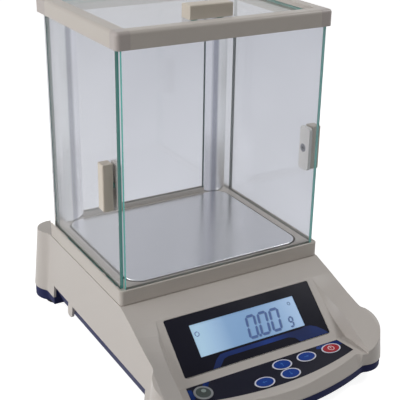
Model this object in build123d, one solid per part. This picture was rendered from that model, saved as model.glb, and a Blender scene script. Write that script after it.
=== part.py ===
from build123d import *
import os
from math import atan2, cos, degrees, hypot, radians, sin, tan

# A precision balance with a glass draft shield, in millimetres. The floor is z = 0, the origin is
# under the middle of the footprint, +Z is up and the control panel faces -Y.

# Housing footprint and levels
base_length = 305.0
console_length = 110.0
deck_half_width = 100.2
deck_z = 80.0
skirt_z = 20.0
tray_z = 12.4
side_edge_z = 32.5
draft_angle = 5.3
housing_wall = 2.5
front_arc_radius = 245.0
front_lean = 30.0
front_lean_x = 84.0
front_lean_above = 6.0
front_lip = 1.0
rear_wall_setback = 13.0
notch_radius = 6.0
front_bulge_x = 92.0
front_bulge_setback = 33.0
front_bulge_radius = 20.2
rear_bulge_x = 90.5
rear_bulge_radius = 21.1
rear_rim_z = 9.0

# Console: distances behind the front of the housing, drops below the deck
display_crease = 88.5
display_crease_drop = 8.0
display_tilt = 41.4
keypad_crease = 44.0
keypad_tilt = 4.5
console_skin_drop = 3.2
# half width and drop of the wing's inner ridge, then of its outer edge: first at the shield, then at
# distances behind the front, the last of them ahead of it
wing_at_shield = (78.5, 0.0, 102.0, 0.0)
wing_stations = [
    (display_crease, 78.9, display_crease_drop, 103.7, 7.8),
    (78.0, 81.9, 15.5, 104.2, 11.6),
    (65.0, 84.9, 22.3, 104.6, 16.3),
    (50.0, 87.3, 29.2, 104.5, 21.1),
    (38.0, 88.3, 35.1, 105.0, 26.2),
    (26.0, 88.5, 41.7, 106.0, 32.0),
    (13.0, 88.2, 48.0, 107.0, 40.0),
    (-8.0, 88.2, 56.0, 108.0, 54.0),
]
# distance behind the front, half width at the foot and sideways lean of the panel recess
recess_stations = [
    (93.0, 78.7, 1.25),
    (78.0, 79.7, 1.25),
    (65.0, 80.9, 0.625),
    (55.0, 82.6, 0.37),
    (keypad_crease, 86.0, 0.12),
    (21.0, 88.1, 0.06),
    (-8.0, 88.2, 0.06),
]

# Lower tray
tray_floor = 2.5
tray_step = 0.6
tray_corner_web = 2.0
tray_side_low = 95.5
tray_side_high = 104.0
side_cut_front = 52.0
side_cut_rear = 52.5
side_cut_x = 92.0
end_wall_x = 88.0
tab_front = 97.0
tab_length = 10.0
tab_z = 20.5
tab_round = 3.0
tab_fit = 0.3

# Levelling feet: the rear ones are under the rear bulges
foot_names = ("front_left", "front_right", "rear_left", "rear_right")
front_foot_x = 80.0
front_foot_setback = 62.5
pad_radius = 11.0
pad_height = 4.5
pad_chamfer = 0.8
pad_socket_depth = 3.0
wheel_lift = 0.3
wheel_radius = 10.0
wheel_height = 3.2
knurls = 18
knurl_radius = 1.2
foot_thread_radius = 4.0
foot_thread_top = 24.0
foot_fit = 0.05
foot_boss_radius = 9.0
foot_boss_top = 26.0

# Draft shield: setbacks count from its front, leads from its rear, and from the sides inwards come the
# door, the ledge beside the pan and the post
shield_half_width = 100.0
shield_length = 157.0
base_height = 14.0
base_corner = 3.5
base_edge_radius = 0.9
base_foot_chamfer = 0.8
shield_inside_height = 200.0
top_frame_height = 14.0
frame_wall = 1.6
top_overhang_front = 0.7
top_overhang_rear = 8.0
glass = 3.0
glass_fit = 0.3
pane_fit = 0.2
door_inset = 2.4
door_front_gap = 1.0
groove_depth = 4.0
top_groove_depth = 6.3
door_top_in_groove = 6.0
pane_front_inset = 1.8
pane_side_gap = 0.3
bar_depth = 11.0
rail_width = 11.5
corner_length = 11.7
rear_corner_length = 22.5
frame_edge_radius = 3.0
frame_corner_radius = 4.0
rear_corner_radius = 4.0
post_lead = 11.5
post_width = 26.8
post_flat = 6.3
post_bow = 0.4
post_skin = 1.6
post_hollow_width = 3.2
rear_pane_lead = 4.4
rear_pane_grip = 4.2
rear_pane_top = 3.0
groove_lip = 1.2
guide_strip = 1.2
pan_ledge = 6.6
pan_opening_front = 7.0
pan_opening_lead = 7.5
rear_ledge_height = 5.0
track_gap = 1.0
track_start = 11.0
track_lead = 40.0
tooth_front = 33.0
tooth_length = 5.0
peg_length = 7.0
peg_width = 3.0
peg_height = 4.0
peg_lift = 1.2
peg_skin = 1.0
rear_bar_gap = 1.5
rear_bar_front = 1.6
rear_bar_height = 6.4

# Top door
top_glass_z = 7.0
top_glass_grip = 3.2
top_glass_front_grip = 2.8
top_glass_tail = 3.0
top_handle_length = 40.0
top_handle_depth = 14.0
top_handle_height = 11.5
top_handle_setback = 30.0
top_screw_spacing = 24.0

# Door handles
handle_height = 40.0
handle_z = 67.0
handle_outer_depth = 8.8
handle_outer_width = 10.0
handle_outer_setback = 14.5
handle_edge_radius = 1.2
handle_plate = 3.0
handle_plate_width = 14.0
handle_plate_setback = 11.0
handle_corner_radius = 3.0
handle_screw_setback = 19.5
handle_hole_radius = 2.5
handle_screw_radius = 2.0
handle_screw_head_radius = 3.8
handle_screw_head = 2.2
handle_screw_length = 12.0

# Weighing pan and load path
pan_side_gap = 2.0
pan_end_gap = 1.5
pan_corner = 14.0
pan_rise = 1.0
pan_sheet = 1.2
pan_rim_height = 7.0
pan_edge_radius = 1.0
carrier_half_width = 52.0
carrier_half_length = 40.0
carrier_arm = 16.0
carrier_plate = 4.0
carrier_hub_radius = 14.0
cushion_radius = 6.0
cushion_height = 3.3
stem_radius = 8.0
stem_margin = 6.0
stem_hole_radius = 20.0
cell_length = 130.0
cell_width = 30.0
cell_height = 22.0
cell_hole_radius = 8.0
cell_hole_spacing = 36.0
cell_slot = 3.0
cell_pad_length = 30.0
cell_screw_radius = 2.5
cell_screw_head_radius = 4.8
cell_screw_head = 2.6
cell_screw_length = 20.0
cell_screw_spacing = 16.0
spacer_height = 5.0
bridge_gap = 4.0
bridge_plate = 6.0
stop_radius = 3.0
stop_gap = 0.4
stop_spacing = 16.0
stop_inset = 8.0

# Chassis
chassis_z = 20.0
chassis_thickness = 4.0
chassis_half_width = 72.0
chassis_front_reach = 32.5
chassis_rear_setback = 35.5
chassis_corner = 8.0
chassis_screw_x = 60.0
chassis_screw_front = 13.0
chassis_screw_rear = 8.0
chassis_screw_radius = 2.0
chassis_screw_head_radius = 3.6
chassis_screw_head = 2.4
chassis_screw_length = 10.0
standoff_radius = 5.5

# Housing, shield and post screws
housing_screw_x = 82.0
housing_screw_front = 19.5
housing_screw_rear = 23.5
housing_split_z = 44.0
housing_boss_radius = 5.0
housing_screw_radius = 2.0
housing_screw_head_radius = 3.8
housing_screw_head = 3.0
housing_screw_length = 44.0
shield_screw_inset = 3.4
shield_screw_setback = 16.0
shield_screw_lead = 19.0
shield_screw_radius = 1.8
shield_screw_head_radius = 3.4
shield_screw_head = 2.4
shield_screw_length = 11.0
post_screw_radius = 1.8
post_screw_head_radius = 3.4
post_screw_head = 2.4
post_screw_length = 22.0
post_screw_spots = ((7.5, 3.6), (15.5, 5.0))

# Display
window_width = 146.0
window_length = 50.7
window_margin = 1.63
window_thickness = 2.0
window_fit = 0.1
window_corner = 1.5
window_backing = 4.0
window_backing_depth = 0.5
lcd_width = 105.0
lcd_length = 28.5
lcd_top = 9.5
lcd_opening_grow = 4.0
lcd_fit = 0.3
lcd_body_grow = 7.0
display_board_depth = 11.0
display_board_width = 134.0
display_board_length = 52.0
bezel_frame = 5.0
display_post_x = 63.0
display_post_down = (3.6, 47.2)

# Keypad
overlay_margin = 1.1
overlay_half_top = 75.8
overlay_half_tip = 80.0
overlay_tip_down = 17.9
overlay_down = 29.5
overlay_thickness = 0.8
overlay_backing = 2.0
overlay_backing_depth = 0.4
key_width = 15.5
key_length = 10.0
key_proud = 0.5
key_gap = 0.25
key_travel = 0.5
key_rest_gap = 0.1
key_flange = 1.2
key_flange_grow = 0.8
key_stem_radius = 2.5
ring_width = 18.6
ring_length = 12.2
ring_rise = 0.3
key_spots = {
    "key_lower_left": (-14.1, 21.3),
    "key_upper_middle": (11.9, 8.3),
    "key_lower_middle": (11.9, 21.0),
    "key_upper_right": (37.0, 8.3),
    "key_power": (63.3, 8.1),
}
key_skin_depth = 4.0
key_board_depth = 9.5
key_board_x = 25.0
key_board_down = 13.5
key_board_width = 106.0
key_board_length = 23.0
switch_side = 6.0
switch_height = 3.0
key_post_spots = ((-24.0, 6.0), (24.5, 14.6), (50.0, 22.0), (74.0, 19.0))
level_x = -65.9
level_down = 10.8
level_cup_radius = 8.0
level_cup_depth = 7.0
level_lens_radius = 6.2
level_lens_depth = 1.2
level_floor = 1.5
level_proud = 0.6

# Boards, sockets and the small screws
board_thickness = 1.6
board_post_radius = 3.0
board_screw_radius = 1.25
board_screw_head_radius = 2.4
board_screw_head = 1.6
board_screw_shank = 5.0
board_screw_length = 4.0
main_board_z = 40.0
main_board_x0 = 20.0
main_board_x1 = 68.0
main_board_length = 102.5
board_hole_inset = 4.5
# place from the board's corner, length, width and height of the larger components
board_chips = [(10.0, 12.0, 14.0, 14.0, 2.4), (30.0, 10.0, 10.0, 8.0, 8.0), (12.0, 40.0, 16.0, 12.0, 12.0),
               (32.0, 44.0, 18.0, 7.0, 3.0), (28.0, 30.0, 8.0, 12.0, 5.0)]
socket_face_setback = 7.0
rear_cut_depth = 12.0
socket_fit = 0.3
jack_x = 29.0
jack_width = 9.0
jack_height = 11.0
jack_length = 14.0
jack_proud = 4.0
jack_bore_radius = 3.2
jack_bore_depth = 10.0
jack_pin_radius = 1.0
jack_pin_set_back = 1.0
socket_x = 52.0
socket_width = 31.0
socket_height = 12.5
socket_length = 10.0
socket_shell_width = 17.0
socket_shell_height = 8.4
socket_proud = 5.0
socket_shell = 0.8
pin_pitch = 2.77
pin_row = 2.84
pin_radius = 0.5
pin_length = 4.0

# How far cuts run past the faces they open and fused solids overlap, and how far the cuts round the
# housing clear it
past = 1.0
clear_above = 45.0
clear_beside = 30.0

# Derived places
front_y = -base_length / 2
rear_y = base_length / 2
shield_y = front_y + console_length
shield_rear_y = shield_y + shield_length
shield_top_z = deck_z + base_height
frame_z = shield_top_z + shield_inside_height
frame_top_z = frame_z + top_frame_height
rear_bar_top = frame_z + rear_bar_height
skirt_half_width = deck_half_width + (deck_z - skirt_z) * tan(radians(draft_angle))
front_bulge_y = front_y + front_bulge_setback
rear_bulge_y = rear_y - rear_bulge_radius
rear_wall_y = rear_y - rear_wall_setback
display_crease_y = front_y + display_crease
keypad_crease_y = front_y + keypad_crease
door_outer_x = shield_half_width - door_inset
door_inner_x = door_outer_x - glass
top_half_width = door_outer_x + frame_wall
pan_opening_x = door_inner_x - pan_ledge
door_front_y = shield_y + pane_front_inset + glass + door_front_gap
door_bottom_z = shield_top_z - groove_depth + glass_fit
door_top_z = frame_z + door_top_in_groove
post_y = shield_rear_y - post_lead
post_outer_x = door_inner_x - glass_fit
post_inner_x = post_outer_x - post_width
post_bow_x = post_outer_x - post_flat
rear_bar_half = post_inner_x - rear_bar_gap
shield_screw_x = door_inner_x - shield_screw_inset
strip_x = door_outer_x + glass_fit
rear_pane_y = shield_rear_y - rear_pane_lead
opening_length = shield_length - pan_opening_front - pan_opening_lead
pan_y = shield_y + pan_opening_front + opening_length / 2
pan_top_z = shield_top_z + pan_rise
chassis_front = shield_y - chassis_front_reach
chassis_rear = rear_wall_y - chassis_rear_setback
socket_face_y = rear_wall_y - socket_face_setback
main_board_front = socket_face_y - main_board_length


def mirrored_places(x, ys):
    return [(side * x, y) for y in ys for side in (-1, 1)]


rear_bulges = mirrored_places(rear_bulge_x, (rear_bulge_y,))
foot_places = mirrored_places(front_foot_x, (front_y + front_foot_setback,)) + rear_bulges
housing_screw_places = mirrored_places(housing_screw_x,
                                       (shield_y - housing_screw_front, rear_wall_y - housing_screw_rear))
chassis_screw_places = mirrored_places(chassis_screw_x,
                                       (chassis_front + chassis_screw_front, chassis_rear - chassis_screw_rear))
shield_screw_places = mirrored_places(shield_screw_x,
                                      (shield_y + shield_screw_setback, shield_rear_y - shield_screw_lead))
post_screw_places = [(side * (post_inner_x + across), shield_rear_y - lead)
                     for across, lead in post_screw_spots for side in (-1, 1)]
display_posts = [(x, -window_margin - down) for x, down in
                 ((side * display_post_x, down) for down in display_post_down for side in (-1, 1))]
key_posts = [(x, -down) for x, down in key_post_spots]
board_hole_x = (main_board_x0 + board_hole_inset, main_board_x1 - board_hole_inset)
main_board_front_places = [(x, main_board_front + board_hole_inset) for x in board_hole_x]
main_board_rear_places = [(x, chassis_rear + board_hole_inset) for x in board_hole_x]


def block(x0, x1, y0, y1, z0, z1):
    return Pos((x0 + x1) / 2, (y0 + y1) / 2, (z0 + z1) / 2) * Box(x1 - x0, y1 - y0, z1 - z0)


def rod(x, y, z0, z1, radius):
    return Pos(x, y, (z0 + z1) / 2) * Cylinder(radius, z1 - z0)


def both_sides(shape):
    return shape + mirror(shape, about=Plane.YZ)


# A screw whose shank points up (1) or down (-1) from the outer face of its head
def screw(x, y, head_z, radius, head_radius, head, length, up):
    low, high = sorted((head_z, head_z + up * head))
    tip_low, tip_high = sorted((head_z + up * head, head_z + up * length))
    return rod(x, y, low, high, head_radius) + rod(x, y, tip_low, tip_high, radius)


os.makedirs("parts", exist_ok=True)


def save(shape, node):
    if isinstance(shape, list):
        shape = Compound(children=[solid for piece in shape for solid in piece.solids()])
    export_step(shape, f"parts/{node}.step")


# The outline of the housing at skirt level, drawn in by an inset
def outline(inset):
    half = skirt_half_width - inset
    length = rear_wall_y - front_y + 2 * front_arc_radius
    shape = Pos(0, rear_wall_y - inset - length / 2) * Rectangle(2 * half, length)
    shape &= Pos(0, front_y + front_arc_radius) * Circle(front_arc_radius - inset)
    for side in (-1, 1):
        seam_inwards = Rot(0, 0, 90 + 90 * side)
        front = Pos(side * front_bulge_x, front_bulge_y) * seam_inwards
        rear = Pos(side * rear_bulge_x, rear_bulge_y) * seam_inwards
        shape += front * Circle(front_bulge_radius - inset)
        shape += rear * Circle(rear_bulge_radius - inset)
    return fillet(shape.vertices(), notch_radius + inset)


# The console's surfaces: how far each lies below the deck
def panel_drop(y):
    if y >= keypad_crease_y:
        return display_crease_drop + (display_crease_y - y) * tan(radians(display_tilt))
    return panel_drop(keypad_crease_y) + (keypad_crease_y - y) * tan(radians(keypad_tilt))


def section(y, points):
    corners = [(x, y, deck_z - drop) for x, drop in points]
    return make_face(Polyline(*corners, close=True))


# What is cut away above the wings, moved down by a skin when the inside is shaped
def above_wings(skin):
    faces = []
    stations = [(shield_y, *wing_at_shield)] + [(front_y + back, *sizes) for back, *sizes in wing_stations]
    for y, inner_x, inner_drop, outer_x, outer_drop in stations:
        far_x = outer_x + clear_beside
        half = [(inner_x, inner_drop + skin), (outer_x, outer_drop + skin), (far_x, outer_drop + skin)]
        half.append((far_x, -clear_above))
        faces.append(section(y, half + [(-x, drop) for x, drop in reversed(half)]))
    return loft(faces, ruled=True)


# What is cut away between the wings for the sloping display and the keypad
def panel_recess(skin, wall):
    faces = []
    for back, foot, lean in recess_stations:
        y = front_y + back
        low = panel_drop(y) + skin
        half = [(foot + wall, low), (foot + wall + lean * clear_above, low - clear_above)]
        faces.append(section(y, half + [(-x, drop) for x, drop in reversed(half)]))
    return loft(faces, ruled=True)


# What is cut away in front, where the wall leans back between the bulges above an upright lip
def front_clearance(inset):
    half = front_lean_x + inset
    low = skirt_z - front_lip
    high = deck_z - panel_drop(front_y) + front_lean_above
    slope = tan(radians(front_lean))
    radius = front_arc_radius + 2 * front_lip * slope - inset / cos(radians(front_lean))
    room = block(-half, half, front_y - clear_beside, front_bulge_y, low, high)
    room -= Pos(0, front_y + front_arc_radius, (low + high) / 2) * Cone(
        radius, radius - (high - low) * slope, high - low)
    return fillet(room.edges().filter_by(GeomType.HYPERBOLA), notch_radius)


def housing_form(inset, skin):
    bottom = Pos(0, 0, skirt_z) * outline(inset)
    shape = extrude(bottom, amount=deck_z - inset - skirt_z, taper=draft_angle)
    return shape - above_wings(skin) - panel_recess(skin, inset) - front_clearance(inset)


display_slope = Plane(
    origin=(0, display_crease_y, deck_z - display_crease_drop),
    x_dir=(1, 0, 0),
    z_dir=(0, -sin(radians(display_tilt)), cos(radians(display_tilt))),
)
keypad_top_y = keypad_crease_y - overlay_margin
keypad_slope = Plane(
    origin=(0, keypad_top_y, deck_z - panel_drop(keypad_top_y)),
    x_dir=(1, 0, 0),
    z_dir=(0, -sin(radians(keypad_tilt)), cos(radians(keypad_tilt))),
)


# A flat solid under a slope's face, from one depth to another
def sunk(plane, sketch, shallow, deep):
    return extrude(plane * (Pos(0, 0, -deep) * sketch), amount=deep - shallow, dir=plane.z_dir)


def window_outline(grow):
    middle = -window_margin - window_length / 2
    width = window_width + 2 * grow
    length = window_length + 2 * grow
    return Pos(0, middle) * RectangleRounded(width, length, window_corner + grow)


def lcd_outline(grow):
    middle = -window_margin - lcd_top - lcd_length / 2
    return Pos(0, middle) * Rectangle(lcd_width + 2 * grow, lcd_length + 2 * grow)


def overlay_outline():
    left_tip = (-overlay_half_tip, -overlay_tip_down)
    right_tip = (overlay_half_tip, -overlay_tip_down)
    arc = ThreePointArc(right_tip, (0, -overlay_down), left_tip)
    sides = Polyline(left_tip, (-overlay_half_top, 0), (overlay_half_top, 0), right_tip)
    return make_face([arc] + list(sides.edges()))


def key_ovals(grow):
    oval = Ellipse(key_width / 2 + grow, key_length / 2 + grow)
    return [Pos(x, -down) * oval for x, down in key_spots.values()]


def level_circle(radius):
    return Pos(level_x, -level_down) * Circle(radius)


# Upper housing
form = housing_form(0, 0)
upper = form - housing_form(housing_wall, console_skin_drop)
backing = sunk(display_slope, window_outline(window_backing), window_backing_depth, bezel_frame)
backing += sunk(keypad_slope, offset(overlay_outline(), overlay_backing), overlay_backing_depth, key_skin_depth)
upper += backing & form

side_y0 = shield_y - side_cut_front
side_y1 = rear_y - side_cut_rear
side_reach = skirt_half_width + clear_beside
tab_y = shield_y + tab_front
side_cut = block(side_cut_x, side_reach, side_y0, side_y1, skirt_z - past, side_edge_z)
tab = block(side_cut_x - past, side_reach + past, tab_y, tab_y + tab_length, tab_z, side_edge_z + past)
tab = fillet(tab.edges().filter_by(Axis.X).group_by(Axis.Z)[0], tab_round)
upper -= both_sides(side_cut - tab)

upper -= sunk(display_slope, window_outline(0), -past, window_thickness)
upper -= sunk(display_slope, lcd_outline(lcd_opening_grow), 0, bezel_frame + past)
upper -= sunk(keypad_slope, overlay_outline(), -past, overlay_thickness)
for oval in key_ovals(key_flange_grow + key_gap):
    upper -= sunk(keypad_slope, oval, 0, key_skin_depth + past)
upper -= sunk(keypad_slope, level_circle(level_cup_radius), -past, key_skin_depth + past)
upper -= rod(0, pan_y, deck_z - housing_wall - past, deck_z + past, stem_hole_radius)

for x, y in housing_screw_places:
    boss = rod(x, y, housing_split_z, deck_z, housing_boss_radius) & form
    screw_end = tray_z + housing_screw_length
    upper += boss - rod(x, y, housing_split_z - past, screw_end + past, housing_screw_radius)
for x, y in shield_screw_places:
    upper -= rod(x, y, deck_z - housing_wall - past, deck_z + past, shield_screw_radius)

# Posts inside the console for the display board and the key board
for spot in display_posts:
    circle = Pos(*spot) * Circle(board_post_radius)
    hole = Pos(*spot) * Circle(board_screw_radius)
    upper += sunk(display_slope, circle, bezel_frame - past, display_board_depth)
    upper -= sunk(display_slope, hole, bezel_frame, display_board_depth + past)
for spot in key_posts:
    circle = Pos(*spot) * Circle(board_post_radius)
    hole = Pos(*spot) * Circle(board_screw_radius)
    upper += sunk(keypad_slope, circle, key_skin_depth - past, key_board_depth)
    upper -= sunk(keypad_slope, hole, key_skin_depth, key_board_depth + past)

# Openings in the rear wall for the power jack and the serial socket
jack_z = main_board_z + board_thickness
socket_z = jack_z + socket_height / 2
upper -= block(jack_x - jack_width / 2 - socket_fit, jack_x + jack_width / 2 + socket_fit,
               rear_wall_y - rear_cut_depth, rear_wall_y + past,
               jack_z - socket_fit, jack_z + jack_height + socket_fit)
upper -= block(socket_x - socket_shell_width / 2 - socket_fit, socket_x + socket_shell_width / 2 + socket_fit,
               rear_wall_y - rear_cut_depth, rear_wall_y + past,
               socket_z - socket_shell_height / 2 - socket_fit, socket_z + socket_shell_height / 2 + socket_fit)
save(upper, "upper_housing")


# Lower housing: a tray whose sides lean in between the bulges
def tray_form(inset, low):
    ring = extrude(Pos(0, 0, low) * outline(tray_step + inset), amount=skirt_z - low)
    ring -= block(-side_reach, side_reach, side_y0 - inset, side_y1 + inset, low - past, skirt_z + past)
    lean = (tray_side_high - tray_side_low) / (side_edge_z - tray_z)
    low_half = tray_side_low + lean * (low - tray_z) - inset
    profile = [(-low_half, low), (low_half, low), (tray_side_high - inset, side_edge_z),
               (inset - tray_side_high, side_edge_z)]
    corners = [(x, side_y0 + inset, z) for x, z in profile]
    middle = make_face(Polyline(*corners, close=True))
    middle = extrude(middle, amount=side_y1 - side_y0 - 2 * inset, dir=(0, 1, 0))
    return ring + middle


floor_z = tray_z + tray_floor
lower = tray_form(0, tray_z) - tray_form(housing_wall, floor_z)
through_half = tray_side_low - housing_wall - tray_corner_web
lower -= block(-through_half, through_half, side_y0 - housing_wall - past, side_y1 + housing_wall + past,
               floor_z, side_edge_z + past)
tab_inner_x = deck_half_width + (deck_z - side_edge_z) * tan(radians(draft_angle)) - housing_wall - 2 * tab_fit
lower -= both_sides(block(tab_inner_x, side_reach, tab_y - tab_fit, tab_y + tab_length + tab_fit,
                          tab_z - tab_fit, side_edge_z + past))
end_walls = block(end_wall_x, side_reach, side_y0 - tab_fit - housing_wall, side_y0 - tab_fit,
                  skirt_z - tray_step, side_edge_z)
end_walls += block(end_wall_x, side_reach, side_y1 + tab_fit, side_y1 + tab_fit + housing_wall,
                   skirt_z - tray_step, side_edge_z)
lower += both_sides(end_walls) & extrude(Pos(0, 0, skirt_z) * outline(housing_wall + tab_fit),
                                         amount=side_edge_z - skirt_z, taper=draft_angle)
for x, y in rear_bulges:
    lower += rod(x, y, rear_rim_z, floor_z, rear_bulge_radius - tray_step)
    lower -= rod(x, y, rear_rim_z - past, tray_z, rear_bulge_radius - tray_step - housing_wall)
for x, y in foot_places:
    lower += rod(x, y, tray_z, foot_boss_top, foot_boss_radius)
    lower -= rod(x, y, tray_z - past, foot_boss_top + past, foot_thread_radius + foot_fit)
for x, y in housing_screw_places:
    lower += rod(x, y, tray_z, housing_split_z, housing_boss_radius)
    lower -= rod(x, y, tray_z - past, tray_z + housing_screw_head, housing_screw_head_radius)
    lower -= rod(x, y, tray_z, housing_split_z + past, housing_screw_radius)
for x, y in chassis_screw_places:
    lower += rod(x, y, floor_z, chassis_z, standoff_radius)
    lower -= rod(x, y, floor_z, chassis_z + past, chassis_screw_radius)
for x, y in main_board_rear_places:
    lower += rod(x, y, floor_z, main_board_z, board_post_radius)
    lower -= rod(x, y, main_board_z - board_screw_length, main_board_z + past, board_screw_radius)
save(lower, "lower_housing")

housing_screws = [screw(x, y, tray_z, housing_screw_radius, housing_screw_head_radius, housing_screw_head,
                        housing_screw_length, 1) for x, y in housing_screw_places]
save(housing_screws, "housing_screws")

# Levelling feet: a pad that stays still on the bench and a screw that turns in it
pin_z = pad_height - pad_socket_depth
for name, (x, y) in zip(foot_names, foot_places):
    pad = chamfer(rod(x, y, 0, pad_height, pad_radius).edges(), pad_chamfer)
    pad -= rod(x, y, pin_z, pad_height + past, foot_thread_radius + foot_fit)
    save(pad, f"foot_pad_{name}")
    wheel_z = pad_height + wheel_lift
    wheel = rod(x, y, wheel_z, wheel_z + wheel_height, wheel_radius)
    for count in range(knurls):
        turn = Rot(0, 0, count * 360 / knurls)
        wheel -= Pos(x, y, 0) * turn * Pos(wheel_radius + knurl_radius / 2, 0, wheel_z + wheel_height / 2) * \
            Cylinder(knurl_radius, wheel_height + 2 * past)
    stud = rod(x, y, pin_z + wheel_lift, foot_thread_top, foot_thread_radius)
    save(wheel + stud, f"foot_screw_{name}")

# Chassis plate with a raised pad for the fixed end of the load cell
cell_front_y = pan_y - cell_length / 2
cell_rear_y = pan_y + cell_length / 2
chassis_top = chassis_z + chassis_thickness
cell_z = chassis_top + spacer_height
chassis = block(-chassis_half_width, chassis_half_width, chassis_front, chassis_rear, chassis_z, chassis_top)
chassis = fillet(chassis.edges().filter_by(Axis.Z), chassis_corner)
chassis += block(-cell_width / 2, cell_width / 2, cell_rear_y - cell_pad_length, cell_rear_y, chassis_z, cell_z)
for x, y in chassis_screw_places:
    chassis -= rod(x, y, chassis_z - past, chassis_top + past, chassis_screw_radius)
for x, y in main_board_front_places:
    chassis += rod(x, y, chassis_top, main_board_z, board_post_radius)
    chassis -= rod(x, y, main_board_z - board_screw_length, main_board_z + past, board_screw_radius)


def cell_screw(y, head_z, up):
    return screw(0, y, head_z, cell_screw_radius, cell_screw_head_radius, cell_screw_head,
                 cell_screw_length, up)


cell_screws = []
for across in (-cell_screw_spacing / 2, cell_screw_spacing / 2):
    y = cell_rear_y - cell_pad_length / 2 + across
    fixed = cell_screw(y, chassis_z, 1)
    cell_screws.append(fixed)
    chassis -= fixed
stops = []
for x in (-stop_spacing / 2, stop_spacing / 2):
    stop = rod(x, cell_front_y + stop_inset, chassis_z, cell_z - stop_gap, stop_radius)
    stops.append(stop)
    chassis -= stop
save(chassis, "chassis_plate")
save(stops, "overload_stops")
chassis_screws = [screw(x, y, chassis_top + chassis_screw_head, chassis_screw_radius, chassis_screw_head_radius,
                        chassis_screw_head, chassis_screw_length, -1) for x, y in chassis_screw_places]
save(chassis_screws, "chassis_screws")

# Load bridge: from the free end of the cell back to the stem under the pan
cell_top = cell_z + cell_height
plate_z = cell_top + bridge_gap
bridge_top = plate_z + bridge_plate
carrier_z = pan_top_z - pan_sheet - cushion_height - carrier_plate
bridge = block(-cell_width / 2, cell_width / 2, cell_front_y, cell_front_y + cell_pad_length, cell_top, plate_z)
bridge += block(-cell_width / 2, cell_width / 2, cell_front_y, pan_y + stem_radius + stem_margin,
                plate_z, bridge_top)
bridge += rod(0, pan_y, bridge_top, carrier_z, stem_radius)
for across in (-cell_screw_spacing / 2, cell_screw_spacing / 2):
    y = cell_front_y + cell_pad_length / 2 + across
    free = cell_screw(y, bridge_top, -1)
    cell_screws.append(free)
    bridge -= free
carrier_screw = cell_screw(pan_y, carrier_z + carrier_plate, -1)
cell_screws.append(carrier_screw)
bridge -= carrier_screw
save(bridge, "load_bridge")
save(cell_screws, "load_cell_screws")

# Load cell: a bending beam weakened by two holes joined by a slot
cell = block(-cell_width / 2, cell_width / 2, cell_front_y, cell_rear_y, cell_z, cell_top)
middle_z = cell_z + cell_height / 2
for along in (-cell_hole_spacing / 2, cell_hole_spacing / 2):
    cell -= Pos(0, pan_y + along, middle_z) * Rot(0, 90, 0) * Cylinder(cell_hole_radius, cell_width + 2 * past)
cell -= block(-cell_width, cell_width, pan_y - cell_hole_spacing / 2, pan_y + cell_hole_spacing / 2,
              middle_z - cell_slot / 2, middle_z + cell_slot / 2)
for one in cell_screws[:4]:
    cell -= one
save(cell, "load_cell")

# Pan carrier, its cushions and the pan
carrier = rod(0, pan_y, carrier_z, carrier_z + carrier_plate, carrier_hub_radius)
cushions = []
for x in (-carrier_half_width, carrier_half_width):
    for y in (-carrier_half_length, carrier_half_length):
        arm = Rot(0, 0, degrees(atan2(y, x))) * Rectangle(hypot(x, y), carrier_arm)
        carrier += extrude(Pos(x / 2, pan_y + y / 2, carrier_z) * arm, amount=carrier_plate)
        carrier += rod(x, pan_y + y, carrier_z, carrier_z + carrier_plate, carrier_arm / 2)
        top = carrier_z + carrier_plate
        cushions.append(rod(x, pan_y + y, top, top + cushion_height, cushion_radius))
carrier -= carrier_screw
save(carrier, "pan_carrier")
save(cushions, "pan_cushions")

pan_width = 2 * (pan_opening_x - pan_side_gap)
pan_length = opening_length - 2 * pan_end_gap
pan_base = Pos(0, pan_y, pan_top_z - pan_rim_height) * RectangleRounded(pan_width, pan_length, pan_corner)
pan = extrude(pan_base, amount=pan_rim_height)
pan = fillet(pan.faces().sort_by(Axis.Z)[-1].edges(), pan_edge_radius)
inside = Pos(0, pan_y, pan_top_z - pan_rim_height) * RectangleRounded(
    pan_width - 2 * pan_sheet, pan_length - 2 * pan_sheet, pan_corner - pan_sheet)
pan -= extrude(inside, amount=pan_rim_height - pan_sheet)
save(pan, "weighing_pan")

# Base of the draft shield with the door tracks
shield_middle_y = (shield_y + shield_rear_y) / 2
base = Pos(0, shield_middle_y, deck_z) * RectangleRounded(2 * shield_half_width, shield_length, base_corner)
base = extrude(base, amount=base_height)
base = fillet(base.faces().sort_by(Axis.Z)[-1].edges(), base_edge_radius)
base = chamfer(base.faces().sort_by(Axis.Z)[0].edges(), base_foot_chamfer)
opening = RectangleRounded(2 * pan_opening_x, opening_length, pan_corner + pan_side_gap)
base -= extrude(Pos(0, pan_y, deck_z - past) * opening, amount=base_height + 2 * past)
ledge_half = post_inner_x
base += block(-ledge_half, ledge_half, rear_pane_y - groove_lip, shield_rear_y,
              deck_z, shield_top_z + rear_ledge_height)
pane_half = door_inner_x - pane_side_gap
pane_y = shield_y + pane_front_inset
groove_z = shield_top_z - groove_depth
base -= block(-pane_half, pane_half, pane_y - glass_fit, pane_y + glass + glass_fit,
              groove_z, shield_top_z + past)
rear_groove_half = post_inner_x + rear_pane_grip
base -= block(-rear_groove_half, rear_groove_half, rear_pane_y - pane_fit, rear_pane_y + glass + pane_fit,
              shield_top_z + rear_ledge_height - groove_depth, shield_top_z + rear_ledge_height + past)
track = block(door_inner_x - glass_fit, door_outer_x + glass_fit, door_front_y - glass_fit,
              shield_rear_y + past, groove_z, shield_top_z + past)
tooth_y = shield_y + tooth_front
for start, end in ((shield_y + track_start, tooth_y), (tooth_y + tooth_length, shield_rear_y - track_lead)):
    track += block(door_outer_x, door_outer_x + track_gap, start, end, groove_z, shield_top_z + past)
base -= both_sides(track)
for x, y in shield_screw_places:
    tip_z = deck_z - housing_wall - shield_screw_head + shield_screw_length
    base -= rod(x, y, deck_z - past, tip_z, shield_screw_radius)
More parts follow.
